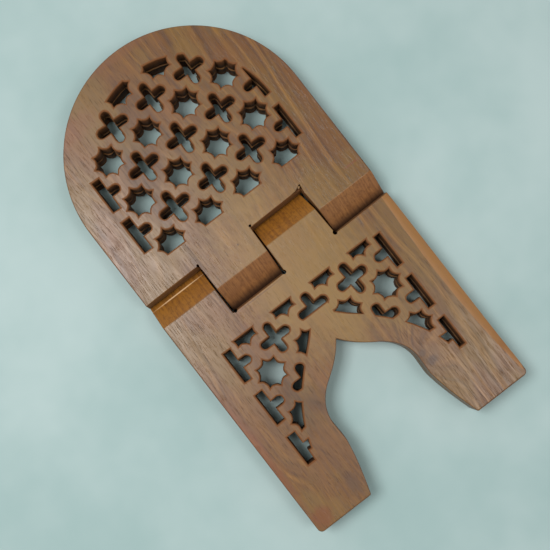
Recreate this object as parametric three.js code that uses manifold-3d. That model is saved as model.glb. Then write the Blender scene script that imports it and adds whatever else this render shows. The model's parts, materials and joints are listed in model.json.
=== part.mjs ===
// Folding book stand, made the classical way: two leaves are sawn out of one plank, and four
// interlocking fingers are their hinge, with no pin. It lies folded flat.
// Millimetres. X runs along the hinge, +Y points to the arched end and +Z is up, out of the front
// face. The origin is on the underside, in the middle of the plank.

import * as THREE from 'three';
import { mergeVertices } from 'three/addons/utils/BufferGeometryUtils.js';
import Module from 'manifold-3d';

// Plank
const plankWidth = 180;
const plankThickness = 24;
const archReach = 173.5; // hinge line to the top of the arch
const footReach = 176.5; // hinge line to the ends of the feet
const footCorner = 3.5; // radius of the outer corner of each foot

// Hinge
const fingerCount = 4; // they belong to the back and the front leaf in turn
const fingerReach = 20; // hinge line to the edge of each leaf
const fingerKerf = 1.2; // sawn gap between neighbouring fingers
const leafGap = 1; // sawn gap between the two leaves
const reliefFootSide = 1.9; // radii of the drilled holes where a kerf meets a leaf edge
const reliefArchSide = 1.2;

// Opening between the legs, as distances from the middle line and from the hinge line
const openingTop = { x: 0, y: -77.5 };
const openingShoulder = { x: 20, y: -96, bend: { x: 7, y: -87.5 } };
const openingCheek = { x: 37, y: -123, bend: { x: 37, y: -106.5 } };
const openingWaist = { x: 36.5, y: -136 };
const openingHeel = { x: 46.5, y: -footReach, bend: { x: 38.5, y: -152 } };

// Fretwork: eight-pointed stars and crosses in turn on one lattice
const columnPitch = 33.2;
const rowPitch = 17.6;
const upperFirstRow = 45; // stars of the arched panel nearest the hinge
const lowerFirstRow = -33.2; // stars of the legs nearest the hinge
const upperRows = 7;
const lowerRows = 6;
const starColumns = [-1.5, -0.5, 0.5, 1.5];
const crossColumns = [-1, 0, 1];
const sideColumns = [-2, 2];
const starPoints = 8;
const starTip = 10.8;
const starBump = 6; // pull of the wood between two points towards the middle of the star
const crossReach = 11.8;
const crossHalfWidth = 2.9;
const slotHalfLength = 12.6; // the side crosses end in a straight slot
const slotInset = 4.4; // slot edge from the middle of its cross

// Border of the fretwork, as distances from the middle line and from the hinge line
const fretHalfWidth = 68.9;
const upperFretBottom = 39.5;
const fretArchLift = 2.3; // the fretwork's arch is struck from a point this far above the plank's
const lowerFretTop = -36.2;
const lowerFretCrown = { x: 11, y: -53.1 }; // flat stretch above the opening
const lowerFretStart = { x: 11, y: -61.8 }; // from here the border follows the opening
const lowerFretBends = [{ x: 26, y: -77 }, { x: 54, y: -93 }];
const lowerFretEnd = { x: 62, y: -134 };

// Smoothness of round outlines
const plankSegments = 12;
const fretSegments = 12;
const starSegments = 3;
const crossSegments = 2;
const reliefSides = 10;

const halfWidth = plankWidth / 2;
const halfPlank = plankThickness / 2;
const halfGap = leafGap / 2;
const archCentre = archReach - halfWidth;
const overshoot = 5; // how far a cutting shape runs past what it cuts

const wasm = await Module();
wasm.setup();

function solidFrom(geometry) {
  geometry.deleteAttribute('normal');
  geometry.deleteAttribute('uv');
  const merged = mergeVertices(geometry, 1e-4);
  const mesh = new wasm.Mesh({
    numProp: 3,
    vertProperties: Float32Array.from(merged.attributes.position.array),
    triVerts: Uint32Array.from(merged.index.array),
  });
  return new wasm.Manifold(mesh);
}

function geometryFrom(solid) {
  const mesh = solid.getMesh();
  const geometry = new THREE.BufferGeometry();
  geometry.setAttribute('position', new THREE.BufferAttribute(mesh.vertProperties, 3));
  geometry.setIndex(new THREE.BufferAttribute(mesh.triVerts, 1));
  const faceted = geometry.toNonIndexed();
  faceted.computeVertexNormals();
  return faceted;
}

// A flat outline, or several, given thickness from one height to another.
function plate(outlines, bottom, top, curveSegments) {
  const geometry = new THREE.ExtrudeGeometry(outlines, {
    depth: top - bottom,
    bevelEnabled: false,
    curveSegments,
  });
  return solidFrom(geometry.translate(0, 0, bottom));
}

// A section drawn in Y and Z, run along X from left to right.
function bar(section, left, right) {
  const geometry = new THREE.ExtrudeGeometry(section, { depth: right - left, bevelEnabled: false });
  const axes = new THREE.Matrix4().makeBasis(
    new THREE.Vector3(0, 1, 0),
    new THREE.Vector3(0, 0, 1),
    new THREE.Vector3(1, 0, 0),
  );
  return solidFrom(geometry.applyMatrix4(axes).translate(left, 0, 0));
}

function polygon(corners) {
  return new THREE.Shape(corners.map(([across, up]) => new THREE.Vector2(across, up)));
}

// Half of the ogee-shaped opening between the feet, from a heel up to the point at the top
// (side -1), or from the point down to the other heel (side 1).
function traceOpening(outline, side) {
  const shoulder = openingShoulder;
  const cheek = openingCheek;
  const waist = openingWaist;
  const heel = openingHeel;
  const curve = (bend, end) => outline.quadraticCurveTo(side * bend.x, bend.y, side * end.x, end.y);
  const line = (end) => outline.lineTo(side * end.x, end.y);
  if (side < 0) {
    line(heel);
    curve(heel.bend, waist);
    line(cheek);
    curve(cheek.bend, shoulder);
    curve(shoulder.bend, openingTop);
  } else {
    curve(shoulder.bend, shoulder);
    curve(cheek.bend, cheek);
    line(waist);
    curve(heel.bend, heel);
  }
}

// The plank seen from the front: a half-round arch, straight sides, and two feet with the
// opening between them.
function plankOutline() {
  const outline = new THREE.Shape();
  outline.moveTo(halfWidth, archCentre);
  outline.absarc(0, archCentre, halfWidth, 0, Math.PI, false);
  outline.lineTo(-halfWidth, footCorner - footReach);
  outline.absarc(footCorner - halfWidth, footCorner - footReach, footCorner,
    Math.PI, 1.5 * Math.PI, false);
  traceOpening(outline, -1);
  traceOpening(outline, 1);
  outline.lineTo(halfWidth - footCorner, -footReach);
  outline.absarc(halfWidth - footCorner, footCorner - footReach, footCorner,
    1.5 * Math.PI, 2 * Math.PI, false);
  outline.closePath();
  return outline;
}

// Eight points, with the wood between two points bulging into the hole.
function starOutline(x, y) {
  const at = (radius, step) => {
    const angle = (2 * Math.PI * step) / starPoints;
    return [x + radius * Math.cos(angle), y + radius * Math.sin(angle)];
  };
  const outline = new THREE.Shape();
  outline.moveTo(...at(starTip, 0));
  for (let point = 0; point < starPoints; point++) {
    outline.quadraticCurveTo(...at(starBump, point + 0.5), ...at(starTip, point + 1));
  }
  return outline;
}

// Four arms of one width with round ends.
function crossOutline(x, y) {
  const outline = new THREE.Shape();
  const armCentre = crossReach - crossHalfWidth;
  for (let arm = 0; arm < 4; arm++) {
    const angle = (arm * Math.PI) / 2;
    const across = new THREE.Vector2(Math.cos(angle), Math.sin(angle));
    const inner = new THREE.Vector2(crossHalfWidth, crossHalfWidth)
      .rotateAround(new THREE.Vector2(), angle);
    outline.absarc(x + across.x * armCentre, y + across.y * armCentre, crossHalfWidth,
      angle - Math.PI / 2, angle + Math.PI / 2, false);
    outline.lineTo(x + inner.x, y + inner.y);
  }
  outline.closePath();
  return outline;
}

// A side cross: a straight slot along the border, and one round-ended arm towards the middle.
function sideCrossOutline(x, y) {
  const side = Math.sign(x);
  const slotInner = x - side * slotInset;
  const slotOuter = x + side * overshoot;
  const armCentre = x - side * (crossReach - crossHalfWidth);
  const facing = side > 0 ? Math.PI : 0;
  const outline = new THREE.Shape();
  outline.moveTo(slotOuter, y - side * slotHalfLength);
  outline.lineTo(slotOuter, y + side * slotHalfLength);
  outline.lineTo(slotInner, y + side * slotHalfLength);
  outline.lineTo(slotInner, y + side * crossHalfWidth);
  outline.absarc(armCentre, y, crossHalfWidth, facing - Math.PI / 2, facing + Math.PI / 2, false);
  outline.lineTo(slotInner, y - side * crossHalfWidth);
  outline.lineTo(slotInner, y - side * slotHalfLength);
  outline.closePath();
  return outline;
}

// Rows of stars and rows of crosses in turn, starting with stars.
function motifOutlines(firstRow, rows, direction) {
  const stars = [];
  const crosses = [];
  for (let row = 0; row < rows; row++) {
    const y = firstRow + direction * row * rowPitch;
    if (row % 2 === 0) {
      stars.push(...starColumns.map((column) => starOutline(column * columnPitch, y)));
    } else {
      crosses.push(...crossColumns.map((column) => crossOutline(column * columnPitch, y)));
      crosses.push(...sideColumns.map((column) => sideCrossOutline(column * columnPitch, y)));
    }
  }
  return { stars, crosses };
}

function upperFretBorder() {
  const centre = archCentre + fretArchLift;
  const border = new THREE.Shape();
  border.moveTo(-fretHalfWidth, upperFretBottom);
  border.lineTo(fretHalfWidth, upperFretBottom);
  border.absarc(0, centre, fretHalfWidth, 0, Math.PI, false);
  border.closePath();
  return border;
}

function lowerFretBorder() {
  const crown = lowerFretCrown;
  const start = lowerFretStart;
  const [upperBend, lowerBend] = lowerFretBends;
  const end = lowerFretEnd;
  const border = new THREE.Shape();
  border.moveTo(fretHalfWidth, lowerFretTop);
  border.lineTo(-fretHalfWidth, lowerFretTop);
  border.lineTo(-fretHalfWidth, end.y);
  border.lineTo(-end.x, end.y);
  border.bezierCurveTo(-lowerBend.x, lowerBend.y, -upperBend.x, upperBend.y, -start.x, start.y);
  border.lineTo(-crown.x, crown.y);
  border.lineTo(crown.x, crown.y);
  border.lineTo(start.x, start.y);
  border.bezierCurveTo(upperBend.x, upperBend.y, lowerBend.x, lowerBend.y, end.x, end.y);
  border.lineTo(fretHalfWidth, end.y);
  border.closePath();
  return border;
}

function fretCutter(border, { stars, crosses }) {
  const reach = halfPlank + overshoot;
  const holes = plate(stars, -reach, reach, starSegments)
    .add(plate(crosses, -reach, reach, crossSegments));
  return holes.intersect(plate(border, -reach - 1, reach + 1, fretSegments));
}

// Height is measured from the middle of the plank, where the hinge axis lies.
function piercedPlank() {
  const plank = plate(plankOutline(), -halfPlank, halfPlank, plankSegments);
  const upper = fretCutter(upperFretBorder(), motifOutlines(upperFirstRow, upperRows, 1));
  const lower = fretCutter(lowerFretBorder(), motifOutlines(lowerFirstRow, lowerRows, -1));
  return plank.subtract(upper).subtract(lower).subtract(reliefHoles());
}

function fingerEdge(index) {
  return -halfWidth + (index * plankWidth) / fingerCount;
}

// Small drilled holes where each kerf turns the corner into a leaf edge.
function reliefHoles() {
  const height = plankThickness + 2 * overshoot;
  let holes = null;
  for (let kerf = 1; kerf < fingerCount; kerf++) {
    for (const [y, radius] of [[-fingerReach, reliefFootSide], [fingerReach, reliefArchSide]]) {
      const drill = new THREE.CylinderGeometry(radius, radius, height, reliefSides);
      const hole = solidFrom(drill.rotateX(Math.PI / 2).translate(fingerEdge(kerf), y, 0));
      holes = holes ? holes.add(hole) : hole;
    }
  }
  return holes;
}

// The share of the plank that one leaf keeps. side is 1 for the leaf whose arched panel is in
// front, and -1 for the one whose arched panel is behind.
function leafShare(side, firstFinger) {
  const far = plankWidth + footReach;
  const out = halfPlank + overshoot;
  const slope = fingerReach / (halfPlank + halfGap);
  const slopeOut = slope * overshoot;
  const flip = (corners) => {
    const turned = corners.map(([y, z]) => [y, side * z]);
    return polygon(side > 0 ? turned : turned.reverse());
  };
  const panel = flip([[fingerReach, halfGap], [far, halfGap], [far, out], [fingerReach, out]]);
  const legs = flip([
    [-far, -out], [-fingerReach, -out], [-fingerReach, -halfGap], [-far, -halfGap],
  ]);
  // A finger passes the hinge line at full thickness and slopes to nothing at both ends.
  const finger = flip([
    [-fingerReach - overshoot, -out],
    [-slopeOut, -out],
    [fingerReach, halfGap],
    [fingerReach + overshoot, halfGap],
    [fingerReach + overshoot, out],
    [slopeOut, out],
    [-fingerReach, -halfGap],
    [-fingerReach - overshoot, -halfGap],
  ]);
  const leftSide = -halfWidth - overshoot;
  const rightSide = halfWidth + overshoot;
  let share = bar(panel, leftSide, rightSide).add(bar(legs, leftSide, rightSide));
  for (let index = firstFinger; index < fingerCount; index += 2) {
    const left = index === 0 ? leftSide : fingerEdge(index) + fingerKerf / 2;
    const right = index === fingerCount - 1 ? rightSide : fingerEdge(index + 1) - fingerKerf / 2;
    share = share.add(bar(finger, left, right));
  }
  return share;
}

const plank = piercedPlank();

function leaf(name, side, firstFinger, colour) {
  const solid = plank.intersect(leafShare(side, firstFinger));
  const material = new THREE.MeshStandardMaterial({ color: colour, roughness: 0.55, metalness: 0 });
  const mesh = new THREE.Mesh(geometryFrom(solid), material);
  mesh.name = name;
  return mesh;
}

const stand = new THREE.Group();
stand.add(leaf('front_leaf', 1, 1, '#7d5238'));
stand.add(leaf('back_leaf', -1, 0, '#7a5a3a'));
stand.position.set(0, (footReach - archReach) / 2, halfPlank);

export default stand;
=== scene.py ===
import json
import math
import random

import bmesh
import bpy
from mathutils import Color, Matrix, Vector, geometry, noise


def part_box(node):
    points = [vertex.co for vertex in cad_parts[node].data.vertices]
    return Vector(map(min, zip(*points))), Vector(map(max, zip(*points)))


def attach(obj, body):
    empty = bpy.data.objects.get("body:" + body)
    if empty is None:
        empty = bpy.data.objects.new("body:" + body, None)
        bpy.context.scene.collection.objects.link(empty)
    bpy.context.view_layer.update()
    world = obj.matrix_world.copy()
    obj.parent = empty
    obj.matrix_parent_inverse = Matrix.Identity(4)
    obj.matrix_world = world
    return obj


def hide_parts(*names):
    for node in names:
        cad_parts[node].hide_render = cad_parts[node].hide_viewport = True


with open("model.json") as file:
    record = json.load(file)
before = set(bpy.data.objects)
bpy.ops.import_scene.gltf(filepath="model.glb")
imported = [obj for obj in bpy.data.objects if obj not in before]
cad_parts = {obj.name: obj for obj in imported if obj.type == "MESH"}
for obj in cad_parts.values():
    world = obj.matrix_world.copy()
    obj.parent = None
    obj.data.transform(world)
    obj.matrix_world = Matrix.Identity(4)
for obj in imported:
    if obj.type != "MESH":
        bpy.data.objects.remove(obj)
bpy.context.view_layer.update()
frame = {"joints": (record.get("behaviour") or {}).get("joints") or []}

scene = bpy.context.scene

# The stand lies folded flat. It is drawn in millimetres from the hinge line and the middle of the
# plank's thickness, with x across the plank, y towards the arch and z out of the front face.
# toFrame puts a finished drawing in its place, in metres.
mm = 0.001
hinge = Vector(frame["joints"][0]["pos_m"])
toFrame = Matrix.Translation(hinge) @ Matrix.Scale(mm, 4)
lowCorner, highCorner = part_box("front_leaf")
halfWidth = (highCorner.x - lowCorner.x) / 2 / mm
halfPlank = (highCorner.z - lowCorner.z) / 2 / mm
archReach = (highCorner.y - hinge.y) / mm
footReach = (hinge.y - lowCorner.y) / mm
past = 5  # how far a cutting shape runs past what it cuts

# The camera hangs over the plank.

cameraView = {
    "beside": (-30, -60),  # point of the plank that the camera hangs over
    "height": 574,  # above the ground
    "tilt": 1.5,  # degrees
    "turn": -37.71,
    "lens": 52.45,
    "shift": (-0.0202, 0.0891),
}


def makeCamera():
    x, y = cameraView["beside"]
    data = bpy.data.cameras.new("camera")
    data.lens = cameraView["lens"]
    data.shift_x, data.shift_y = cameraView["shift"]
    data.clip_start = 0.01
    camera = bpy.data.objects.new("camera", data)
    camera.location = (hinge.x + x * mm, hinge.y + y * mm, cameraView["height"] * mm)
    camera.rotation_euler = (math.radians(cameraView["tilt"]), 0, math.radians(cameraView["turn"]))
    scene.collection.objects.link(camera)
    scene.camera = camera


# Shader helpers.


def colour(hexCode):
    parts = [int(hexCode[start:start + 2], 16) / 255 for start in (0, 2, 4)]
    return (*Color(parts).from_srgb_to_scene_linear(), 1)


def addNode(tree, kind, values=None, **settings):
    node = tree.nodes.new(kind)
    for name, setting in settings.items():
        setattr(node, name, setting)
    for name, value in (values or {}).items():
        if isinstance(value, bpy.types.NodeSocket):
            tree.links.new(value, node.inputs[name])
        else:
            node.inputs[name].default_value = value
    return node


def calculate(tree, operation, first, second=0.5, clamp=False):
    node = addNode(tree, "ShaderNodeMath", {0: first, 1: second}, operation=operation)
    node.use_clamp = clamp
    return node.outputs[0]


def blendColour(tree, amount, below, above, how="MIX"):
    node = addNode(tree, "ShaderNodeMix", {0: amount, 6: below, 7: above}, data_type="RGBA")
    node.blend_type = how
    return node.outputs[2]


def spread(tree, value, low, high, start=0.0, end=1.0):
    names = {"Value": value, "From Min": low, "From Max": high, "To Min": start, "To Max": end}
    return addNode(tree, "ShaderNodeMapRange", names, interpolation_type="SMOOTHSTEP").outputs[0]


def colourRamp(tree, value, stops):
    node = addNode(tree, "ShaderNodeValToRGB", {"Fac": value})
    ramp = node.color_ramp
    for index, (place, hexCode) in enumerate(stops):
        stop = ramp.elements[index] if index < 2 else ramp.elements.new(place)
        stop.position = place
        stop.color = colour(hexCode)
    return node.outputs["Color"]


def stretchedNoise(tree, place, scale, detail=3.0, roughness=0.5):
    mapping = addNode(tree, "ShaderNodeMapping", {"Vector": place, "Scale": scale})
    values = {"Vector": mapping.outputs[0], "Scale": 1.0, "Detail": detail, "Roughness": roughness}
    return addNode(tree, "ShaderNodeTexNoise", values).outputs[0]


def newGroup(name, inputs, outputs):
    tree = bpy.data.node_groups.new(name, "ShaderNodeTree")
    for label, kind, value in inputs:
        socket = tree.interface.new_socket(label, in_out="INPUT", socket_type=kind)
        if value is not None:
            socket.default_value = value
    for label, kind in outputs:
        tree.interface.new_socket(label, in_out="OUTPUT", socket_type=kind)
    return tree, tree.nodes.new("NodeGroupInput"), tree.nodes.new("NodeGroupOutput")


def useGroup(tree, group, values):
    node = tree.nodes.new("ShaderNodeGroup")
    node.node_tree = group
    for name, value in values.items():
        if isinstance(value, bpy.types.NodeSocket):
            tree.links.new(value, node.inputs[name])
        else:
            node.inputs[name].default_value = value
    return node.outputs


# Effects that several finishes share.

grain = {
    "pith": (-34, 0, -120),  # heart of the tree, below the plank
    "knot": (42, -125, 9),
    "knotReach": 26,  # the rings bend round the knot within this distance
    "knotPush": 9,
    "knotStretch": (1.25, 0.7, 1.0),
    "drift": 22,  # how far the rings wander
    "driftScale": (0.02, 0.006, 0.02),
    "streakScale": (0.55, 0.016, 0.55),
    "poreScale": (2.4, 0.1, 2.4),
    "patchScale": (0.03, 0.017, 0.03),
}


# Figure of the wood. Place is in millimetres from the hinge line.
def makeGrainGroup():
    inputs = [("Place", "NodeSocketVector", None)]
    outputs = [(name, "NodeSocketFloat") for name in ("Rings", "Streaks", "Pores", "Patches")]
    tree, given, out = newGroup("plankGrain", inputs, outputs)
    place = given.outputs["Place"]
    wide = addNode(tree, "ShaderNodeMapping", {"Vector": place, "Scale": grain["driftScale"]}).outputs[0]
    drift = addNode(tree, "ShaderNodeTexNoise", {"Vector": wide, "Scale": 1.0, "Detail": 2.0}).outputs[1]
    shifted = addNode(tree, "ShaderNodeVectorMath", {0: drift, 1: (0.5, 0.5, 0.5)}, operation="SUBTRACT")
    drifted = addNode(tree, "ShaderNodeVectorMath", {
        0: shifted.outputs[0],
        1: (grain["drift"], 0, grain["drift"]),
        2: place,
    }, operation="MULTIPLY_ADD").outputs[0]
    fromPith = addNode(tree, "ShaderNodeVectorMath", {0: drifted, 1: grain["pith"]}, operation="SUBTRACT")
    across = addNode(tree, "ShaderNodeVectorMath", {0: fromPith.outputs[0], 1: (1, 0.02, 1)},
                     operation="MULTIPLY")
    radius = addNode(tree, "ShaderNodeVectorMath", {0: across.outputs[0]}, operation="LENGTH")
    fromKnot = addNode(tree, "ShaderNodeVectorMath", {0: place, 1: grain["knot"]}, operation="SUBTRACT")
    knotScale = addNode(tree, "ShaderNodeVectorMath", {0: fromKnot.outputs[0], 1: grain["knotStretch"]},
                        operation="MULTIPLY")
    knotFar = addNode(tree, "ShaderNodeVectorMath", {0: knotScale.outputs[0]}, operation="LENGTH")
    push = spread(tree, knotFar.outputs["Value"], 0, grain["knotReach"], grain["knotPush"], 0)
    bent = calculate(tree, "ADD", radius.outputs["Value"], push)
    rings = addNode(tree, "ShaderNodeTexNoise", {"W": bent, "Scale": 0.42, "Detail": 3.5,
                                                 "Roughness": 0.62}, noise_dimensions="1D").outputs[0]
    tree.links.new(rings, out.inputs["Rings"])
    tree.links.new(stretchedNoise(tree, drifted, grain["streakScale"], 4, 0.6), out.inputs["Streaks"])
    pores = stretchedNoise(tree, place, grain["poreScale"], 2, 0.6)
    tree.links.new(spread(tree, pores, 0.56, 0.72), out.inputs["Pores"])
    tree.links.new(stretchedNoise(tree, place, grain["patchScale"], 3, 0.55), out.inputs["Patches"])
    return tree


# A stain with a ragged edge, round a centre given in millimetres.
def makeStainGroup():
    inputs = [
        ("Place", "NodeSocketVector", None),
        ("Centre", "NodeSocketVector", (0, 0, 0)),
        ("Size", "NodeSocketVector", (10, 10, 10)),
        ("Ragged", "NodeSocketFloat", 0.6),
    ]
    tree, given, out = newGroup("softStain", inputs, [("Mask", "NodeSocketFloat")])
    place = given.outputs["Place"]
    away = addNode(tree, "ShaderNodeVectorMath", {0: place, 1: given.outputs["Centre"]},
                   operation="SUBTRACT")
    scaled = addNode(tree, "ShaderNodeVectorMath", {0: away.outputs[0], 1: given.outputs["Size"]},
                     operation="DIVIDE")
    far = addNode(tree, "ShaderNodeVectorMath", {0: scaled.outputs[0]}, operation="LENGTH")
    rough = stretchedNoise(tree, place, (0.35, 0.16, 0.35), 4, 0.65)
    rough = calculate(tree, "SUBTRACT", rough, 0.5)
    rough = calculate(tree, "MULTIPLY", rough, given.outputs["Ragged"])
    edge = calculate(tree, "ADD", far.outputs["Value"], rough)
    tree.links.new(spread(tree, edge, 0.35, 1.0, 1, 0), out.inputs["Mask"])
    return tree


# Eased edges: between a flat face and a wall the surface leans.
def makeArrisGroup():
    inputs = [("Normal", "NodeSocketVector", None)]
    tree, given, out = newGroup("easedArris", inputs, [("Arris", "NodeSocketFloat"),
                                                       ("Wall", "NodeSocketFloat")])
    split = addNode(tree, "ShaderNodeSeparateXYZ", {0: given.outputs["Normal"]})
    upright = calculate(tree, "ABSOLUTE", split.outputs["Z"])
    rising = spread(tree, upright, 0.03, 0.35)
    falling = spread(tree, upright, 0.88, 0.995, 1, 0)
    tree.links.new(calculate(tree, "MULTIPLY", rising, falling), out.inputs["Arris"])
    tree.links.new(spread(tree, upright, 0.1, 0.7, 1, 0), out.inputs["Wall"])
    return tree


# Ridges that a saw leaves. Stretch is largest along the ridges.
def makeSawGroup():
    inputs = [("Place", "NodeSocketVector", None), ("Stretch", "NodeSocketVector", (1, 1, 0.05))]
    tree, given, out = newGroup("sawMarks", inputs, [("Height", "NodeSocketFloat")])
    scaled = addNode(tree, "ShaderNodeVectorMath", {0: given.outputs["Place"], 1: given.outputs["Stretch"]},
                     operation="MULTIPLY")
    ridges = addNode(tree, "ShaderNodeTexNoise", {"Vector": scaled.outputs[0], "Scale": 1.0,
                                                  "Detail": 3.0, "Roughness": 0.65})
    tree.links.new(ridges.outputs[0], out.inputs["Height"])
    return tree


groups = {
    "grain": makeGrainGroup(),
    "stain": makeStainGroup(),
    "arrisPaintedShade": makeArrisGroup(),
    "saw": makeSawGroup(),
}

# The finishes of the wood.

woodTones = {
    "figure": [(0.24, "361f0a"), (0.42, "563513"), (0.56, "6a451a"), (0.72, "865d2a")],
    "olive": "705521",
    "ember": "713f14",
    "pore": "24150b",
    "goldenSlopePaintedLit": "8a5715",
    "brownSlopePaintedShade": "84562e",
    "slopeFootShade": "241207",
    "slopeRidge": "4a260d",
    "slopeBlotch": "53300f",
    "slopeLineHighlight": "c9a47a",
    "arrisPaintedShade": "5c3420",
    "wallPaintedShade": "3a2315",
    "sawHollowTone": "24150c",
    "holeRimPaintedLight": "86532a",
    "sapwood": "a8723f",
}

# Where the slopes are marked, in millimetres from the hinge line.
slopeMarks = {
    "litSideFrom": 2,  # painted light: the slopes are golden above the hinge line, where they face the light, and brown below it, where they face away
    # painted shade at the foot of the slopes below the hinge line runs between these two places
    "footShadeStart": -11,
    "footShadeEnd": -18,
    "line": (-67, 14.6, 2),  # painted highlight: a pale line near the foot of the first slope
    "highlightLineSize": (28, 0.7, 4),
}

# Stains on the front face: centre, size, raggedness, strength and colour.
stains = [
    ((30, -30, 12), (9, 9, 4), 1.0, 0.45, "4a3a26"),
    ((40.5, -121.5, 12), (4.5, 3.4, 6), 0.6, 0.75, "38261a"),
    ((43, -129.5, 12), (5.5, 4.6, 6), 0.8, 0.85, "2e1e15"),
    ((41, -126, 12), (15, 20, 8), 1.2, 0.45, "5a3c26"),
    ((-51, -162, 12), (6.5, 13, 4), 1.2, 0.55, "4a3120"),
    ((-82, -168, 12), (10, 11, 14), 0.9, 0.6, "6a3310"),
    ((8, -25, 12), (62, 95, 30), 0.8, 0.55, "84642e"),
    ((-24, -21.9, 12), (27, 0.5, 2), 0.3, 0.6, "4d2a15"),
    ((82, 11.5, 12), (9, 0.9, 2), 0.5, 0.55, "6b3321"),
    ((-14, 15, 12), (1.0, 1.2, 2), 0.2, 0.7, "3d2417"),
    ((-88.5, -110, 10), (5, 75, 12), 0.7, 0.4, "6e371b"),
    ((-62, 148, 12), (34, 12, 14), 0.9, 0.35, "71402a"),
    ((3, 172, 12), (60, 7, 14), 0.9, 0.4, "6e4326"),
]


def startMaterial(name):
    material = bpy.data.materials.new(name)
    material.use_nodes = True
    tree = material.node_tree
    coordinates = tree.nodes.new("ShaderNodeTexCoord")
    place = addNode(tree, "ShaderNodeMapping", {
        "Vector": coordinates.outputs["Object"],
        "Location": -hinge / mm,
        "Scale": (1 / mm, 1 / mm, 1 / mm),
    }).outputs[0]
    return material, tree, place, coordinates.outputs["Normal"]


def finishMaterial(tree, values, height, depth, strength=0.6):
    bump = addNode(tree, "ShaderNodeBump", {"Strength": strength, "Distance": depth * mm,
                                            "Height": height})
    shader = tree.nodes["Principled BSDF"]
    tree.links.new(bump.outputs[0], shader.inputs["Normal"])
    for name, value in values.items():
        if isinstance(value, bpy.types.NodeSocket):
            tree.links.new(value, shader.inputs[name])
        else:
            shader.inputs[name].default_value = value


def woodColour(tree, figure):
    tone = calculate(tree, "MULTIPLY", figure["Rings"], 0.6)
    tone = calculate(tree, "ADD", tone, calculate(tree, "MULTIPLY", figure["Streaks"], 0.4))
    base = colourRamp(tree, tone, woodTones["figure"])
    olive = spread(tree, figure["Patches"], 0.45, 0.62, 0, 0.45)
    base = blendColour(tree, olive, base, colour(woodTones["olive"]))
    ember = spread(tree, figure["Patches"], 0.3, 0.46, 0.35, 0)
    base = blendColour(tree, ember, base, colour(woodTones["ember"]))
    pores = calculate(tree, "MULTIPLY", figure["Pores"], 0.6)
    return blendColour(tree, pores, base, colour(woodTones["pore"]))


def addStains(tree, place, base):
    for centre, size, ragged, strength, hexCode in stains:
        mask = useGroup(tree, groups["stain"], {"Place": place, "Centre": centre, "Size": size,
                                                "Ragged": ragged})["Mask"]
        base = blendColour(tree, calculate(tree, "MULTIPLY", mask, strength), base, colour(hexCode))
    return base


def makeSandedFace(name, wallShade, roughness):
    material, tree, place, normal = startMaterial(name)
    figure = useGroup(tree, groups["grain"], {"Place": place})
    lean = useGroup(tree, groups["arrisPaintedShade"], {"Normal": normal})
    base = addStains(tree, place, woodColour(tree, figure))
    # Painted shade: the eased edges are darkened by how far they lean away from the face.
    arrisPaintedShade = calculate(tree, "MULTIPLY", lean["Arris"], 0.55)
    base = blendColour(tree, arrisPaintedShade, base, colour(woodTones["arrisPaintedShade"]))
    # Painted shade: walls are darkened by how upright they stand.
    wallPaintedShade = calculate(tree, "MULTIPLY", lean["Wall"], wallShade)
    base = blendColour(tree, wallPaintedShade, base, colour(woodTones["wallPaintedShade"]))
    gloss = spread(tree, figure["Streaks"], 0.3, 0.7, roughness + 0.06, roughness - 0.06)
    fibres = calculate(tree, "MULTIPLY", figure["Streaks"], 0.5)
    height = calculate(tree, "SUBTRACT", fibres, figure["Pores"])
    finishMaterial(tree, {"Base Color": base, "Roughness": gloss, "Specular IOR Level": 0.5}, height, 0.12)
    return material


def makeSawnWood(name, stretch, wallToneAndShade, amount, depth, rimPaintedLight):
    material, tree, place, _ = startMaterial(name)
    figure = useGroup(tree, groups["grain"], {"Place": place})
    ridges = useGroup(tree, groups["saw"], {"Place": place, "Stretch": stretch})["Height"]
    base = blendColour(tree, amount, woodColour(tree, figure), colour(wallToneAndShade))
    # Darker in the hollows of the saw ridges.
    ridgeHollows = spread(tree, ridges, 0.35, 0.6, 0.55, 0)
    base = blendColour(tree, ridgeHollows, base, colour(woodTones["sawHollowTone"]))
    # Painted light: the walls are lighter towards the faces and darker deeper in, as light falls into a
    # hole.
    split = addNode(tree, "ShaderNodeSeparateXYZ", {0: place})
    fromMiddle = calculate(tree, "ABSOLUTE", split.outputs["Z"])
    rimLight = spread(tree, fromMiddle, 3, 11, 0, rimPaintedLight)
    base = blendColour(tree, rimLight, base, colour(woodTones["holeRimPaintedLight"]))
    values = {"Base Color": base, "Roughness": 0.75, "Specular IOR Level": 0.3}
    finishMaterial(tree, values, ridges, depth, 0.8)
    return material


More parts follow.
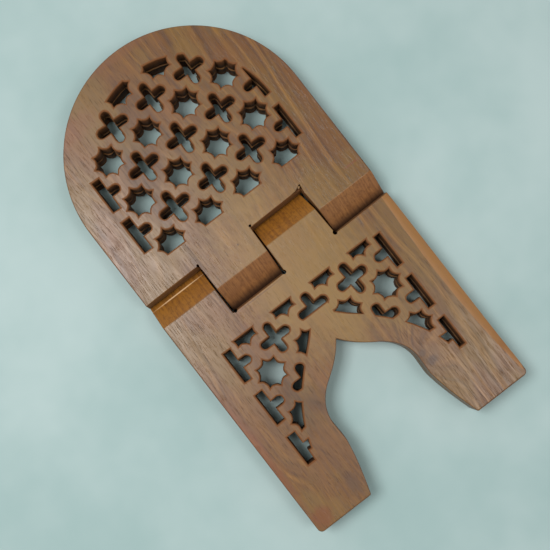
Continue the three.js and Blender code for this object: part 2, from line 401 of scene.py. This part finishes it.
def makeParedSlope():
    material, tree, place, _ = startMaterial("paredSlope")
    figure = useGroup(tree, groups["grain"], {"Place": place})
    ridges = useGroup(tree, groups["saw"], {"Place": place, "Stretch": (0.9, 0.03, 0.03)})["Height"]
    along = addNode(tree, "ShaderNodeSeparateXYZ", {0: place}).outputs["Y"]
    # Painted light: golden on the slopes that face the light, brown on those that face away.
    litSide = spread(tree, along, -slopeMarks["litSideFrom"], slopeMarks["litSideFrom"])
    pared = blendColour(tree, litSide, colour(woodTones["brownSlopePaintedShade"]), colour(woodTones["goldenSlopePaintedLit"]))
    base = blendColour(tree, 0.78, woodColour(tree, figure), pared)
    hollow = spread(tree, ridges, 0.35, 0.6, 0.4, 0)
    base = blendColour(tree, hollow, base, colour(woodTones["slopeRidge"]))
    blotch = spread(tree, figure["Streaks"], 0.35, 0.5, 0.5, 0)
    base = blendColour(tree, blotch, base, colour(woodTones["slopeBlotch"]))
    # Painted highlight: a pale line near the foot of the first slope.
    line = useGroup(tree, groups["stain"], {"Place": place, "Centre": slopeMarks["line"],
                                            "Size": slopeMarks["highlightLineSize"], "Ragged": 0.3})["Mask"]
    base = blendColour(tree, line, base, colour(woodTones["slopeLineHighlight"]))
    # Painted shade: the foot of the slopes below the hinge line darkens where it runs in under the edge of
    # the other leaf.
    footShade = spread(tree, along, slopeMarks["footShadeEnd"], slopeMarks["footShadeStart"], 0.9, 0)
    base = blendColour(tree, footShade, base, colour(woodTones["slopeFootShade"]))
    finishMaterial(tree, {"Base Color": base, "Roughness": 0.5, "Specular IOR Level": 0.4}, ridges, 0.1)
    return material


def makeSapEdge():
    material, tree, place, _ = startMaterial("sapEdge")
    figure = useGroup(tree, groups["grain"], {"Place": place})
    base = blendColour(tree, 0.4, woodColour(tree, figure), colour(woodTones["sapwood"]))
    height = calculate(tree, "SUBTRACT", figure["Streaks"], figure["Pores"])
    finishMaterial(tree, {"Base Color": base, "Roughness": 0.5, "Specular IOR Level": 0.5}, height, 0.15)
    return material


# Both leaves have these slots, in this order. The values are painted wall shade and roughness for sanded
# wood, and ridge scale, wall tone (for the fretwork a painted shade deep in the holes), its share, ridge
# depth and painted rim light for sawn wood.
finishes = {
    "sandedFace": makeSandedFace("sandedFace", 0.35, 0.37),
    "sandedEdge": makeSandedFace("sandedEdge", 0.25, 0.46),
    # Painted shade: the fretwork walls are given a dark tone as if deep in shade.
    "sawnFretwork": makeSawnWood("sawnFretwork", (0.9, 0.9, 0.06), "3c2110", 0.7, 0.25, 0.45),
    "sawnBetween": makeSawnWood("sawnBetween", (0.05, 0.8, 0.8), "7a5230", 0.4, 0.15, 0.2),
    "paredSlope": makeParedSlope(),
    "sapEdge": makeSapEdge(),
}
finishNames = list(finishes)
print("finishes made")

# Mesh helpers.


def addObject(name, bm):
    bmesh.ops.recalc_face_normals(bm, faces=bm.faces)
    if bm.calc_volume(signed=True) < 0:
        bmesh.ops.reverse_faces(bm, faces=bm.faces)
    mesh = bpy.data.meshes.new(name)
    bm.to_mesh(mesh)
    bm.free()
    for finish in finishes.values():
        mesh.materials.append(finish)
    piece = bpy.data.objects.new(name, mesh)
    scene.collection.objects.link(piece)
    return piece


# Turns what the modifiers give into the mesh itself.
def applyModifiers(piece):
    bpy.context.view_layer.update()
    graph = bpy.context.evaluated_depsgraph_get()
    mesh = bpy.data.meshes.new_from_object(piece.evaluated_get(graph))
    piece.modifiers.clear()
    old, piece.data = piece.data, mesh
    bpy.data.meshes.remove(old)


# One boolean step, which uses the tool up.
def combine(piece, tool, operation):
    step = piece.modifiers.new("combine", "BOOLEAN")
    step.operation = operation
    step.solver = "MANIFOLD"
    step.material_mode = "INDEX"
    step.object = tool
    applyModifiers(piece)
    bpy.data.objects.remove(tool)


def flatFace(bm, corners):
    return bm.faces.new([bm.verts.new((x, y, 0)) for x, y in corners])


def roundCorners(bm, corners, offset, segments):
    bmesh.ops.bevel(bm, geom=corners, offset=offset, offset_type="OFFSET", segments=segments,
                    profile=0.5, affect="VERTICES", material=-1, clamp_overlap=False)


# Gives flat faces thickness, in place of a solid block.
def thicken(bm, bottom, top, finish):
    bmesh.ops.translate(bm, vec=(0, 0, bottom), verts=bm.verts)
    raised = bmesh.ops.extrude_face_region(bm, geom=bm.faces[:])
    lifted = [part for part in raised["geom"] if isinstance(part, bmesh.types.BMVert)]
    bmesh.ops.translate(bm, vec=(0, 0, top - bottom), verts=lifted)
    for face in bm.faces:
        face.material_index = finishNames.index(finish)


# Adds a curve with one bend to an outline.
def curveTo(points, bend, end, steps):
    start = Vector(points[-1])
    bend = Vector(bend)
    end = Vector(end)
    curve = geometry.interpolate_bezier(start, start.lerp(bend, 2 / 3), end.lerp(bend, 2 / 3), end, steps)
    points += [point[:] for point in curve[1:]]


# A rectangle whose top corners are rounded until they meet, so that it ends in a half-round arch.
def archFace(bm, halfWide, bottom, top, segments):
    flatFace(bm, [(-halfWide, bottom), (halfWide, bottom), (halfWide, top), (-halfWide, top)])
    crown = [vert for vert in bm.verts if vert.co.y > bottom + 1]
    roundCorners(bm, crown, halfWide * 0.9999, segments)
    bmesh.ops.remove_doubles(bm, verts=bm.verts, dist=0.05)


# The pattern of holes.
fretwork = {
    "columnPitch": 33.2,
    "rowPitch": 17.6,
    "lowerRowPitch": 18.0,
    "middle": 0.7,  # the pattern was set out a little to the right
    "upperFirstRow": 45,
    "lowerFirstRow": -33.2,
    "upperRows": 7,
    "lowerRows": 6,
    "starTip": 10.5,
    "starWaist": 7.2,
    "starRounding": 3.0,
    "crossReach": 11.8,
    "crossHalfWidth": 2.9,
    "slotHalfLength": 12.6,
    "slotInset": 3.4,
    "turn": 2.2,  # how far hand cutting strays: degrees, millimetres, share of size
    "stray": 0.3,
    "swell": 0.03,
    "waver": 0.35,
    "halfWidth": 68.2,
    "upperBottom": 39.5,
    "straightTo": 112,  # the border follows the arch above this, on the left
    "archLift": 2.3,
    "lowerTop": -36.2,
    "crown": (11, -53.1),
    "start": (11, -61.8),
    "bends": [(25, -77), (53, -94)],
    "end": (61.4, -134),
    "easing": 1.2,
    "scrap": 5,  # smallest hole, in square millimetres
    "slip": (-0.6, -0.5),  # the leaf behind lies a little to one side
}

# The plank before the holes are cut.
plankShape = {
    "archSegments": 56,
    "footCorner": 3.5,
    "footSegments": 6,
    "curveSteps": 18,
    "rimRadius": 0.9,
    "rimSegments": 4,
    "gridBeside": 1.9,
    "openingTop": (0, -77.5),
    "shoulder": (20, -96),
    "shoulderBend": (7, -87.5),
    "cheek": (37, -123),
    "cheekBend": (37, -106.5),
    "waist": (36.5, -136),
    "heel": (46.5, -footReach),
    "heelBend": (38.5, -152),
}


def makeOpening():
    shape = plankShape
    steps = shape["curveSteps"]
    right = [shape["openingTop"]]
    curveTo(right, shape["shoulderBend"], shape["shoulder"], steps)
    curveTo(right, shape["cheekBend"], shape["cheek"], steps)
    right.append(shape["waist"])
    curveTo(right, shape["heelBend"], shape["heel"], steps)
    right.append((shape["heel"][0] + past / 3, shape["heel"][1] - past))
    bm = bmesh.new()
    flatFace(bm, right + [(-x, y) for x, y in reversed(right[1:])])
    thicken(bm, -halfPlank - past, halfPlank + past, "sandedEdge")
    return addObject("opening", bm)


def cutAcross(bm, place, normal):
    everything = bm.verts[:] + bm.edges[:] + bm.faces[:]
    bmesh.ops.bisect_plane(bm, geom=everything, plane_co=place, plane_no=normal, dist=0.001)


# Grid lines pass beside the middle of every hole, so that no face goes round a hole.
def cutGrid(bm):
    beside = plankShape["gridBeside"]
    for number in range(-5, 6):
        x = fretwork["middle"] + beside + number * fretwork["columnPitch"] / 2
        cutAcross(bm, (x, 0, 0), (1, 0, 0))
    for number in range(-2, fretwork["upperRows"] + 1):
        y = fretwork["upperFirstRow"] + beside + number * fretwork["rowPitch"]
        cutAcross(bm, (0, y, 0), (0, 1, 0))
    for number in range(-1, fretwork["lowerRows"] + 3):
        y = fretwork["lowerFirstRow"] + beside - number * fretwork["lowerRowPitch"]
        cutAcross(bm, (0, y, 0), (0, 1, 0))


# The whole plank, with its outline rounded over and no holes.
def makePlank():
    bm = bmesh.new()
    archFace(bm, halfWidth, -footReach, archReach, plankShape["archSegments"])
    feet = [vert for vert in bm.verts if vert.co.y < 1 - footReach]
    roundCorners(bm, feet, plankShape["footCorner"], plankShape["footSegments"])
    thicken(bm, -halfPlank, halfPlank, "sandedEdge")
    block = addObject("block", bm)
    combine(block, makeOpening(), "DIFFERENCE")
    bm = bmesh.new()
    bm.from_mesh(block.data)
    bpy.data.objects.remove(block)
    bmesh.ops.dissolve_limit(bm, angle_limit=0.005, verts=bm.verts, edges=bm.edges)
    nearFace = halfPlank - 0.01
    rims = [edge for edge in bm.edges if all(abs(vert.co.z) > nearFace for vert in edge.verts)]
    bmesh.ops.bevel(bm, geom=rims, offset=plankShape["rimRadius"], offset_type="OFFSET",
                    segments=plankShape["rimSegments"], profile=0.5, affect="EDGES", material=-1,
                    clamp_overlap=False)
    for face in bm.faces:
        face.normal_update()
        if abs(face.normal.z) > 0.9999:
            face.material_index = finishNames.index("sandedFace")
    cutGrid(bm)
    return addObject("plank", bm)


# Drawing the holes. The same seed gives the same hand work every time.
handCut = random.Random(11)


def starFace(bm):
    made = bmesh.ops.create_circle(bm, cap_ends=True, radius=fretwork["starTip"], segments=16)
    waist = made["verts"][1::2]
    shrink = fretwork["starWaist"] / fretwork["starTip"]
    bmesh.ops.scale(bm, vec=(shrink, shrink, 1), verts=waist)
    roundCorners(bm, waist, fretwork["starRounding"], 5)


def crossFace(bm):
    reach = fretwork["crossReach"]
    half = fretwork["crossHalfWidth"]
    corners = []
    for across, along in [(1, 0), (0, 1), (-1, 0), (0, -1)]:
        for far, side in [(reach, -half), (reach, half), (half, half)]:
            corners.append((across * far - along * side, along * far + across * side))
    flatFace(bm, corners)
    tips = [vert for vert in bm.verts if max(abs(vert.co.x), abs(vert.co.y)) > half + 1]
    roundCorners(bm, tips, half * 0.96, 5)


# Half a cross on a straight slot. side is 1 at the right border and -1 at the left one.
def sideCrossFace(bm, side):
    reach = fretwork["crossReach"]
    half = fretwork["crossHalfWidth"]
    inset = -fretwork["slotInset"]
    length = fretwork["slotHalfLength"]
    corners = [(past, -length), (past, length), (inset, length), (inset, half),
               (-reach, half), (-reach, -half), (inset, -half), (inset, -length)]
    flatFace(bm, [(side * x, y) for x, y in corners[::side]])
    tips = [vert for vert in bm.verts if abs(vert.co.x) > reach - 1]
    roundCorners(bm, tips, half * 0.96, 5)


def addMotif(bm, draw, x, y, *details):
    motif = bmesh.new()
    draw(motif, *details)
    turn = math.radians(handCut.uniform(-1, 1) * fretwork["turn"])
    swell = 1 + handCut.uniform(-1, 1) * fretwork["swell"]
    strayX = handCut.uniform(-1, 1) * fretwork["stray"]
    strayY = handCut.uniform(-1, 1) * fretwork["stray"]
    place = Matrix.Translation((x + strayX + fretwork["middle"], y + strayY, 0))
    motif.transform(place @ Matrix.Rotation(turn, 4, "Z") @ Matrix.Scale(swell, 4))
    for vert in motif.verts:
        waver = noise.noise_vector(vert.co * 0.35) * fretwork["waver"]
        vert.co += Vector((waver.x, waver.y, 0))
    mesh = bpy.data.meshes.new("motif")
    motif.to_mesh(mesh)
    motif.free()
    bm.from_mesh(mesh)
    bpy.data.meshes.remove(mesh)


# rowStep is positive up the plank and negative toward the feet.
def drawMotifs(firstRow, rows, rowStep):
    bm = bmesh.new()
    pitch = fretwork["columnPitch"]
    for row in range(rows):
        y = firstRow + row * rowStep
        if row % 2 == 0:
            for column in (-1.5, -0.5, 0.5, 1.5):
                addMotif(bm, starFace, column * pitch, y)
        else:
            for column in (-1, 0, 1):
                addMotif(bm, crossFace, column * pitch, y)
            for side in (-1, 1):
                addMotif(bm, sideCrossFace, side * 2 * pitch, y, side)
    return bm


def upperBorder():
    bm = bmesh.new()
    top = archReach - halfWidth + fretwork["archLift"] + fretwork["halfWidth"]
    archFace(bm, fretwork["halfWidth"], fretwork["upperBottom"], top, 40)
    for vert in bm.verts:
        if vert.co.x < 0 and vert.co.y < fretwork["straightTo"]:
            vert.co.x = -fretwork["halfWidth"]
    return bm


def lowerBorder():
    crown = fretwork["crown"]
    start = fretwork["start"]
    end = fretwork["end"]
    wide = fretwork["halfWidth"]
    near, far = [Vector(point) for point in fretwork["bends"]]
    sweep = geometry.interpolate_bezier(Vector(start), near, far, Vector(end), 24)
    right = [crown, *[point[:] for point in sweep], (wide, end[1]), (wide, fretwork["lowerTop"])]
    bm = bmesh.new()
    flatFace(bm, right + [(-x, y) for x, y in reversed(right)])
    return bm


# Flat outlines of the holes: the motifs, cut off by the border.
def clipMotifs(motifs, border):
    thicken(motifs, -1, 1, "sawnFretwork")
    thicken(border, -2, 2, "sawnFretwork")
    clipped = addObject("clipped", motifs)
    combine(clipped, addObject("border", border), "INTERSECT")
    outlines = bmesh.new()
    outlines.from_mesh(clipped.data)
    bpy.data.objects.remove(clipped)
    rest = [face for face in outlines.faces if face.calc_center_median().z < 0.99]
    bmesh.ops.delete(outlines, geom=rest, context="FACES")
    bmesh.ops.dissolve_limit(outlines, angle_limit=0.01, verts=outlines.verts, edges=outlines.edges)
    bmesh.ops.remove_doubles(outlines, verts=outlines.verts, dist=0.2)
    scraps = [face for face in outlines.faces if face.calc_area() < fretwork["scrap"]]
    bmesh.ops.delete(outlines, geom=scraps, context="FACES")
    for vert in outlines.verts:
        vert.co.z = 0
    return outlines


# Which way an outline's corner moves when the outline grows by one millimetre.
def growth(corner):
    before = (corner.vert.co - corner.link_loop_prev.vert.co).normalized()
    after = (corner.link_loop_next.vert.co - corner.vert.co).normalized()
    first = Vector((before.y, -before.x, 0))
    second = Vector((after.y, -after.x, 0))
    return (first + second) / max(0.5, 1 + first.dot(second))


# The holes as cutting shapes. They widen where they leave the face, which rounds off its edge.
# side is 1 to round off the front face and -1 for the back.
def makeFretCutter(name, outlines, side):
    bm = outlines.copy()
    bm.normal_update()
    for face in bm.faces:
        if face.normal.z < 0:
            face.normal_flip()
    home = bm.verts.layers.float_vector.new("home")
    outward = bm.verts.layers.float_vector.new("outward")
    for face in bm.faces:
        for corner in face.loops:
            corner.vert[home] = corner.vert.co
            corner.vert[outward] = growth(corner)
    easing = fretwork["easing"]
    levels = [(-halfPlank - past, 0), (0, 0)]
    for step in range(5):
        angle = math.pi / 2 * step / 4
        levels.append((halfPlank - easing * (1 - math.sin(angle)), easing * (1 - math.cos(angle))))
    levels.append((halfPlank + past, easing + past / 2))
    cap = bm.faces[:]
    for number, (z, grown) in enumerate(levels):
        if number:
            below = cap
            raised = bmesh.ops.extrude_face_region(bm, geom=below)["geom"]
            cap = [part for part in raised if isinstance(part, bmesh.types.BMFace)]
            if number > 1:
                bmesh.ops.delete(bm, geom=below, context="FACES_ONLY")
        for vert in {vert for face in cap for vert in face.verts}:
            vert.co = vert[home] + vert[outward] * grown + Vector((0, 0, side * z))
    for face in bm.faces:
        face.material_index = finishNames.index("sawnFretwork")
    return addObject(name, bm)


# The interlocked fingers are the hinge.

fingers = {
    "count": 4,
    "reach": 20,  # hinge line to the edge of each leaf
    "gap": 1.0,  # saw cut between the leaves
    "kerfs": [(-44.8, 0, 1.2), (0.1, 0.02, 1.2), (44.1, -0.04, 1.7)],  # place, lean and width
    "overlap": 3,  # how far fingers and lips run into their own leaf
    "lipOverlap": 2.7,  # and how far a lip runs into the fingers beside it
    "backLean": 0.04,
    "crests": [0, 0.7, 2.2, 0.3],  # hinge line to the crest of each front slope
    "edges": [(19.7, 20.0), (20.5, 20.1), (19.0, 19.8), (20.0, 19.2)],  # left and right end
    "lean": 0.16,  # the visible leaf edges lean in under the face
    "clearance": 0.7,
    "drills": [(-43.2, -19.9, 1.5), (-0.4, -19.4, 1.6), (44.2, -19.2, 1.7),
               (-44.8, 20.4, 1.0), (0.5, 20.2, 1.0), (43.4, 20.4, 1.0)],
    "notch": [(38.5, 19.3), (44.4, 15.5), (45.2, 22.6)],  # chisel slip at the third saw cut
    "notchFloor": 8.5,
}
halfGap = fingers["gap"] / 2


# Left or right side of a finger, for a given place along the plank.
def fingerSide(index, side, y):
    if index == 0 and side < 0:
        return -halfWidth - past
    if index == fingers["count"] - 1 and side > 0:
        return halfWidth + past
    place, lean, width = fingers["kerfs"][index if side > 0 else index - 1]
    return place + lean * y - side * width / 2


# A section drawn in y and z, run from one side of a finger to the other.
def makeBar(corners, left, right):
    bm = bmesh.new()
    bm.faces.new([bm.verts.new((0, y, z)) for y, z in corners])
    moved = bmesh.ops.extrude_face_region(bm, geom=bm.faces[:])
    far = [part for part in moved["geom"] if isinstance(part, bmesh.types.BMVert)]
    for vert in bm.verts:
        vert.co.x = left(vert.co.y)
    for vert in far:
        vert.co.x = right(vert.co.y)
    bmesh.ops.recalc_face_normals(bm, faces=bm.faces)
    for face in bm.faces:
        sloped = abs(face.normal.y) > 0.3 and abs(face.normal.z) > 0.3
        face.material_index = finishNames.index("paredSlope" if sloped else "sawnBetween")
    return addObject("bar", bm)


def slopeRate(crest):
    return (halfPlank + halfGap) / (fingers["reach"] - crest)


def makeFinger(index, side):
    reach = fingers["reach"]
    out = halfPlank + past
    front = fingers["crests"][index]
    frontOut = past / slopeRate(front) - front
    backOut = past / slopeRate(0)
    root = reach + fingers["overlap"]
    # drawn for a leaf whose front slope faces the feet
    corners = [(-root, -out), (-backOut, -out), (reach, halfGap), (root, halfGap),
               (root, out), (frontOut, out), (-reach, -halfGap), (-root, -halfGap)]
    if side < 0:
        corners = [(-y, z) for y, z in reversed(corners)]
    return makeBar(corners, lambda y: fingerSide(index, -1, y), lambda y: fingerSide(index, 1, y))


# The edge of a leaf between two of its own fingers, over or under a finger of the other leaf.
def makeLip(index, end, up):
    left, right = fingers["edges"][index] if up > 0 else (fingers["reach"], fingers["reach"])
    lean = fingers["lean"] if up > 0 else fingers["backLean"]
    crest = fingers["crests"][index] if up > 0 else 0
    bm = bmesh.new()
    bmesh.ops.create_cube(bm, size=2)
    for vert in bm.verts:
        edge = right if vert.co.x > 0 else left
        onEdge = vert.co.y < 0
        z = halfPlank + past
        if vert.co.z < 0:
            low = edge - lean * halfPlank
            over = halfPlank - (low - crest) * slopeRate(crest) + fingers["clearance"]
            z = over if onEdge else halfGap
        y = edge - lean * (halfPlank - z) if onEdge else fingers["reach"] + fingers["overlap"]
        outward = 1 if vert.co.x > 0 else -1
        x = fingerSide(index, outward, end * y) + outward * fingers["lipOverlap"]
        vert.co = (x, end * y, up * z)
    for face in bm.faces:
        face.material_index = finishNames.index("sawnBetween")
    return addObject("lip", bm)


# Everything that one leaf keeps of the plank. side is 1 for the leaf whose panel is in front.
def makeShare(side, own):
    far = halfWidth * 2 + footReach
    out = halfPlank + past
    root = fingers["reach"] + fingers["overlap"] / 2
    share = None
    for end in (1, -1):
        up = side * end
        corners = [(end * root, up * halfGap), (end * far, up * halfGap), (end * far, up * out),
                   (end * root, up * out)]
        block = makeBar(corners, lambda y: -halfWidth - past, lambda y: halfWidth + past)
        if share:
            combine(share, block, "UNION")
        else:
            share = block
    for index in range(fingers["count"]):
        if index in own:
            combine(share, makeFinger(index, side), "UNION")
        else:
            for end in (1, -1):
                combine(share, makeLip(index, end, side * end), "UNION")
    bm = bmesh.new()
    bm.from_mesh(share.data)
    cutGrid(bm)
    bm.to_mesh(share.data)
    bm.free()
    return share


# Drilled holes in the corners of the hinge, and the notch.
def makeDrills():
    bm = bmesh.new()
    for x, y, radius in fingers["drills"]:
        bmesh.ops.create_cone(bm, cap_ends=True, radius1=radius, radius2=radius, segments=20,
                              depth=2 * (halfPlank + past), matrix=Matrix.Translation((x, y, 0)))
    notch = bmesh.new()
    flatFace(notch, fingers["notch"])
    thicken(notch, fingers["notchFloor"], halfPlank + past, "sawnFretwork")
    mesh = bpy.data.meshes.new("notch")
    notch.to_mesh(mesh)
    notch.free()
    bm.from_mesh(mesh)
    bpy.data.meshes.remove(mesh)
    for face in bm.faces:
        face.material_index = finishNames.index("sawnFretwork")
    return addObject("drills", bm)


# The two leaves.

leafEdges = {
    "easing": 0.4,
    "hingeWeight": 1.0,
    "innerWeight": 0.5,
    "sharpest": 28,  # degrees
    "shortest": 0.9,
    "segments": 3,
}

# The wane runs along the right leg. It is narrowest at the waist, and runs out before the foot.
wane = {
    "middle": -93,
    "halfLength": 81,
    "waist": -85,
    "inner": 82.2,  # from the middle line to its inner edge, at the waist
    "curve": 75,  # distance from the waist at which the inner edge is the next two values further out
    "towardsFoot": 4.2,
    "towardsHinge": 2.6,
    "waver": 0.4,
    "depth": 3.2,
    "fadeFrom": -120,
    "fadeLength": 52,
    "steps": 14,
}


# The front corner of the right leg follows the curved outside of the log.
def makeWane():
    bm = bmesh.new()
    bmesh.ops.create_grid(bm, x_segments=2, y_segments=wane["steps"], size=1)
    for vert in bm.verts:
        y = wane["middle"] + wane["halfLength"] * vert.co.y
        fall = (y - wane["waist"]) / wane["curve"]
        further = wane["towardsFoot"] if fall < 0 else wane["towardsHinge"]
        inner = wane["inner"] + further * fall * fall + wane["waver"] * noise.noise((0, y * 0.08, 0))
        wide = (vert.co.x + 1) / 2
        ending = max(0, wane["fadeFrom"] - y) / wane["fadeLength"]
        depth = wane["depth"] * (1 - ending ** 3)
        x = inner + wide * (halfWidth + 1 - inner)
        vert.co = (x, y, halfPlank + 0.06 - depth * wide ** 1.3)
    raised = bmesh.ops.extrude_face_region(bm, geom=bm.faces[:])
    lifted = [part for part in raised["geom"] if isinstance(part, bmesh.types.BMVert)]
    for vert in lifted:
        vert.co.z = halfPlank + past
    for face in bm.faces:
        face.material_index = finishNames.index("sapEdge")
    return addObject("wane", bm)


# The edges that are still sharp get a weight each, and then one bevel.
def easeEdges(piece):
    bm = bmesh.new()
    bm.from_mesh(piece.data)
    bmesh.ops.remove_doubles(bm, verts=bm.verts, dist=0.01)
    bmesh.ops.dissolve_degenerate(bm, edges=bm.edges, dist=0.005)
    weight = bm.edges.layers.float.new("bevel_weight_edge")
    sharpest = math.radians(leafEdges["sharpest"])
    fret = finishNames.index("sawnFretwork")
    for edge in bm.edges:
        if not edge.is_manifold or edge.calc_face_angle() < sharpest:
            continue
        edge.smooth = False
        middle = (edge.verts[0].co + edge.verts[1].co) / 2
        if fret in [face.material_index for face in edge.link_faces]:
            continue
        if edge.calc_length() < leafEdges["shortest"]:
            continue
        if abs(middle.y) < fingers["reach"] + 4 and abs(middle.z) > halfGap + 1:
            edge[weight] = leafEdges["hingeWeight"]
        elif abs(middle.z) < halfGap + 0.05:
            edge[weight] = leafEdges["innerWeight"]
    for face in bm.faces:
        face.smooth = True
    bm.to_mesh(piece.data)
    bm.free()
    easing = piece.modifiers.new("easing", "BEVEL")
    easing.limit_method = "WEIGHT"
    easing.width = leafEdges["easing"]
    easing.segments = leafEdges["segments"]
    easing.use_clamp_overlap = False
    flatten = piece.modifiers.new("flatten", "WEIGHTED_NORMAL")
    flatten.weight = 100
    flatten.keep_sharp = True
    applyModifiers(piece)


# side is 1 for the leaf whose panel is in front, and own lists its fingers from the left.
def makeLeaf(name, node, body, side, own):
    leaf = bpy.data.objects.new(name, blank.data.copy())
    scene.collection.objects.link(leaf)
    inFront, behind = ("upper", "lower") if side > 0 else ("lower", "upper")
    combine(leaf, makeFretCutter("cutter", holes[inFront], 1), "DIFFERENCE")
    slipped = makeFretCutter("cutter", holes[behind], -1)
    slipped.data.transform(Matrix.Translation((*fretwork["slip"], 0)))
    combine(leaf, slipped, "DIFFERENCE")
    combine(leaf, makeDrills(), "DIFFERENCE")
    combine(leaf, makeShare(side, own), "INTERSECT")
    if side < 0:
        combine(leaf, makeWane(), "DIFFERENCE")
    easeEdges(leaf)
    leaf.data.transform(toFrame)
    leaf.data.name = name
    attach(leaf, body)
    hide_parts(node)
    print(name, "has", len(leaf.data.polygons), "faces")


# Floor and light.

stage = {
    "floorSize": 4.0,  # metres, as everything here
    "floorTone": "8fa6a4",
    "worldTone": (0.92, 0.94, 0.93),
    "worldStrength": 0.56,
    "keyPlace": (-0.34, 0.25, 1.1),
    "keySize": 0.45,
    "keyPower": 10.2,
    "fillPlace": (0.27, -0.38, 1.0),
    "fillSize": 0.3,
    "fillPower": 2.6,
}


def makeFloor():
    bm = bmesh.new()
    bmesh.ops.create_grid(bm, x_segments=1, y_segments=1, size=stage["floorSize"] / 2)
    mesh = bpy.data.meshes.new("floor")
    bm.to_mesh(mesh)
    bm.free()
    floor = bpy.data.objects.new("floor", mesh)
    scene.collection.objects.link(floor)
    material = bpy.data.materials.new("floorPaper")
    material.use_nodes = True
    tree = material.node_tree
    coordinates = tree.nodes.new("ShaderNodeTexCoord").outputs["Object"]
    cloud = stretchedNoise(tree, coordinates, (6, 6, 6), 4, 0.6)
    tone = colour(stage["floorTone"])
    pale = blendColour(tree, spread(tree, cloud, 0.3, 0.7, 0, 0.12), tone, (1, 1, 1, 1))
    shader = tree.nodes["Principled BSDF"]
    tree.links.new(pale, shader.inputs["Base Color"])
    shader.inputs["Roughness"].default_value = 0.9
    mesh.materials.append(material)


def makeSoftbox(name, place, size, power):
    data = bpy.data.lights.new(name, "AREA")
    data.size = size
    data.energy = power
    light = bpy.data.objects.new(name, data)
    light.location = place
    light.rotation_euler = (-Vector(place)).to_track_quat("-Z", "Y").to_euler()
    scene.collection.objects.link(light)


def makeLights():
    makeSoftbox("keySoftbox", stage["keyPlace"], stage["keySize"], stage["keyPower"])
    makeSoftbox("fillSoftbox", stage["fillPlace"], stage["fillSize"], stage["fillPower"])
    world = bpy.data.worlds.new("studio")
    world.use_nodes = True
    background = world.node_tree.nodes["Background"]
    background.inputs["Color"].default_value = (*stage["worldTone"], 1)
    background.inputs["Strength"].default_value = stage["worldStrength"]
    scene.world = world
    scene.view_settings.view_transform = "Standard"


makeCamera()
print("camera made")
blank = makePlank()
upperMotifs = drawMotifs(fretwork["upperFirstRow"], fretwork["upperRows"], fretwork["rowPitch"])
upperHoles = clipMotifs(upperMotifs, upperBorder())
lowerMotifs = drawMotifs(fretwork["lowerFirstRow"], fretwork["lowerRows"], -fretwork["lowerRowPitch"])
lowerHoles = clipMotifs(lowerMotifs, lowerBorder())
holes = {"upper": upperHoles, "lower": lowerHoles}
print("fretwork drawn")
makeLeaf("frontLeaf", "front_leaf", "front_leaf", 1, (1, 3))
makeLeaf("backLeaf", "back_leaf", "back_leaf", -1, (0, 2))
bpy.data.objects.remove(blank)
for outlines in holes.values():
    outlines.free()
makeFloor()
makeLights()
print("stage set")
